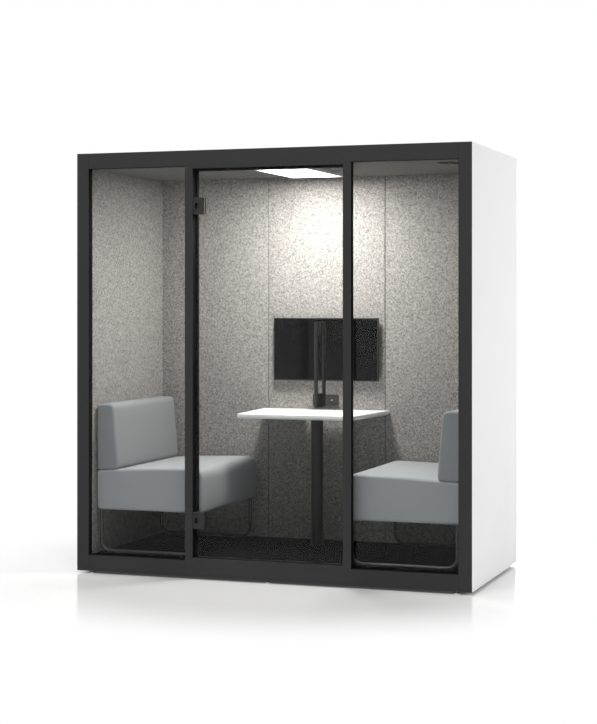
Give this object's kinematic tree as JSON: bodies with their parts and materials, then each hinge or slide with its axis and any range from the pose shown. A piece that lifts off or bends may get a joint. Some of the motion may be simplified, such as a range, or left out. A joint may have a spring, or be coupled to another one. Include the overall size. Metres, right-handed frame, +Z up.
{
  "type": "acoustic office pod",
  "caption": "Free-standing acoustic office pod with a glazed front and hinged glass door, felt-lined cabin, facing sofas, wall table, screen, lamp and ventilation.",
  "frame": {"origin": "on the ground under the middle of the whole pod, outer pull bar included", "axes": "+X to the right along the glass front, +Y from the glass front to the back wall, +Z up"},
  "size_m": [2.22, 1.115, 2.3],
  "materials": {
    "frame": "anthracite powder coat",
    "glass": "clear laminated safety glass",
    "rubber": "black glazing rubber",
    "ironwork": "satin black powder coat",
    "bright_steel": "satin steel",
    "outer_panel": "matt white laminate on board",
    "base": "black laminated board",
    "carpet": "charcoal loop carpet",
    "felt": "speckled warm grey pressed felt",
    "ceiling_felt": "fine dark grey felt",
    "lamp_rim": "white",
    "lamp_diffuser": "opal",
    "black_plastic": "fine moulded",
    "table_white": "white laminate",
    "upholstery": "blue-grey wool felt",
    "screen": "black glossy screen"
  },
  "bodies": {
    "cabin": {"left_post": "frame", "right_post": "frame", "top_rail": "frame", "bottom_rail": "frame", "left_mullion": "frame", "right_mullion": "frame", "door_head": "frame", "door_threshold": "frame", "left_pane": "glass", "right_pane": "glass", "left_pane_gasket": "rubber", "right_pane_gasket": "rubber", "door_stop_seal": "rubber", "upper_hinge_leaf": "ironwork", "lower_hinge_leaf": "ironwork", "table_column": "ironwork", "left_near_sled": "ironwork", "left_rear_sled": "ironwork", "right_near_sled": "ironwork", "right_rear_sled": "ironwork", "monitor_bracket": "ironwork", "upper_hinge_pin": "bright_steel", "lower_hinge_pin": "bright_steel", "left_side_panel": "outer_panel", "right_side_panel": "outer_panel", "back_panel": "outer_panel", "roof_panel": "outer_panel", "floor_panel": "base", "carpet": "carpet", "left_felt": "felt", "right_felt": "felt", "back_felt_left": "felt", "back_felt_centre": "felt", "back_felt_right": "felt", "ceiling_felt": "ceiling_felt", "lamp_frame": "lamp_rim", "lamp_diffuser": "lamp_diffuser", "fan_housing": "black_plastic", "socket_plate": "black_plastic", "table_top": "table_white", "left_seat_cushion": "upholstery", "left_back_cushion": "upholstery", "right_seat_cushion": "upholstery", "right_back_cushion": "upholstery", "monitor": "screen"},
    "door": {"door_glass": "glass", "upper_hinge_clamp": "ironwork", "lower_hinge_clamp": "ironwork", "outer_pull_bar": "ironwork", "inner_pull_bar": "ironwork", "upper_pull_standoff": "ironwork", "lower_pull_standoff": "ironwork"},
    "fan": {"fan_rotor": "black_plastic"},
    "light_switch": {"light_button": "bright_steel"},
    "front_left_foot_body": {"front_left_foot": "bright_steel"},
    "front_middle_foot_body": {"front_middle_foot": "bright_steel"},
    "front_right_foot_body": {"front_right_foot": "bright_steel"},
    "back_left_foot_body": {"back_left_foot": "bright_steel"},
    "back_middle_foot_body": {"back_middle_foot": "bright_steel"},
    "back_right_foot_body": {"back_right_foot": "bright_steel"}
  },
  "joints": [
    {"name": "door_swing", "type": "hinge", "parent": "cabin", "child": "door", "pos_m": [-0.416, -0.5155, 1.15], "axis": [0, 0, -1], "range_deg": [0, 100]},
    {"name": "fan_spin", "type": "hinge", "parent": "cabin", "child": "fan", "pos_m": [0.935, -0.2825, 2.24], "axis": [0, 0, 1], "continuous": true},
    {"name": "light_press", "type": "slide", "parent": "cabin", "child": "light_switch", "axis": [0, 1, 0], "range_m": [0, 0.002], "stiffness_N_per_m": 900, "springref_m": -0.0006},
    {"name": "front_left_foot_turn", "type": "hinge", "parent": "cabin", "child": "front_left_foot_body", "pos_m": [-1.026, -0.5025, 0], "axis": [0, 0, 1], "continuous": true},
    {"name": "front_middle_foot_turn", "type": "hinge", "parent": "cabin", "child": "front_middle_foot_body", "pos_m": [0, -0.5025, 0], "axis": [0, 0, 1], "continuous": true},
    {"name": "front_right_foot_turn", "type": "hinge", "parent": "cabin", "child": "front_right_foot_body", "pos_m": [1.026, -0.5025, 0], "axis": [0, 0, 1], "continuous": true},
    {"name": "back_left_foot_turn", "type": "hinge", "parent": "cabin", "child": "back_left_foot_body", "pos_m": [-1.026, 0.5325, 0], "axis": [0, 0, 1], "continuous": true},
    {"name": "back_middle_foot_turn", "type": "hinge", "parent": "cabin", "child": "back_middle_foot_body", "pos_m": [0, 0.5325, 0], "axis": [0, 0, 1], "continuous": true},
    {"name": "back_right_foot_turn", "type": "hinge", "parent": "cabin", "child": "back_right_foot_body", "pos_m": [1.026, 0.5325, 0], "axis": [0, 0, 1], "continuous": true}
  ]
}
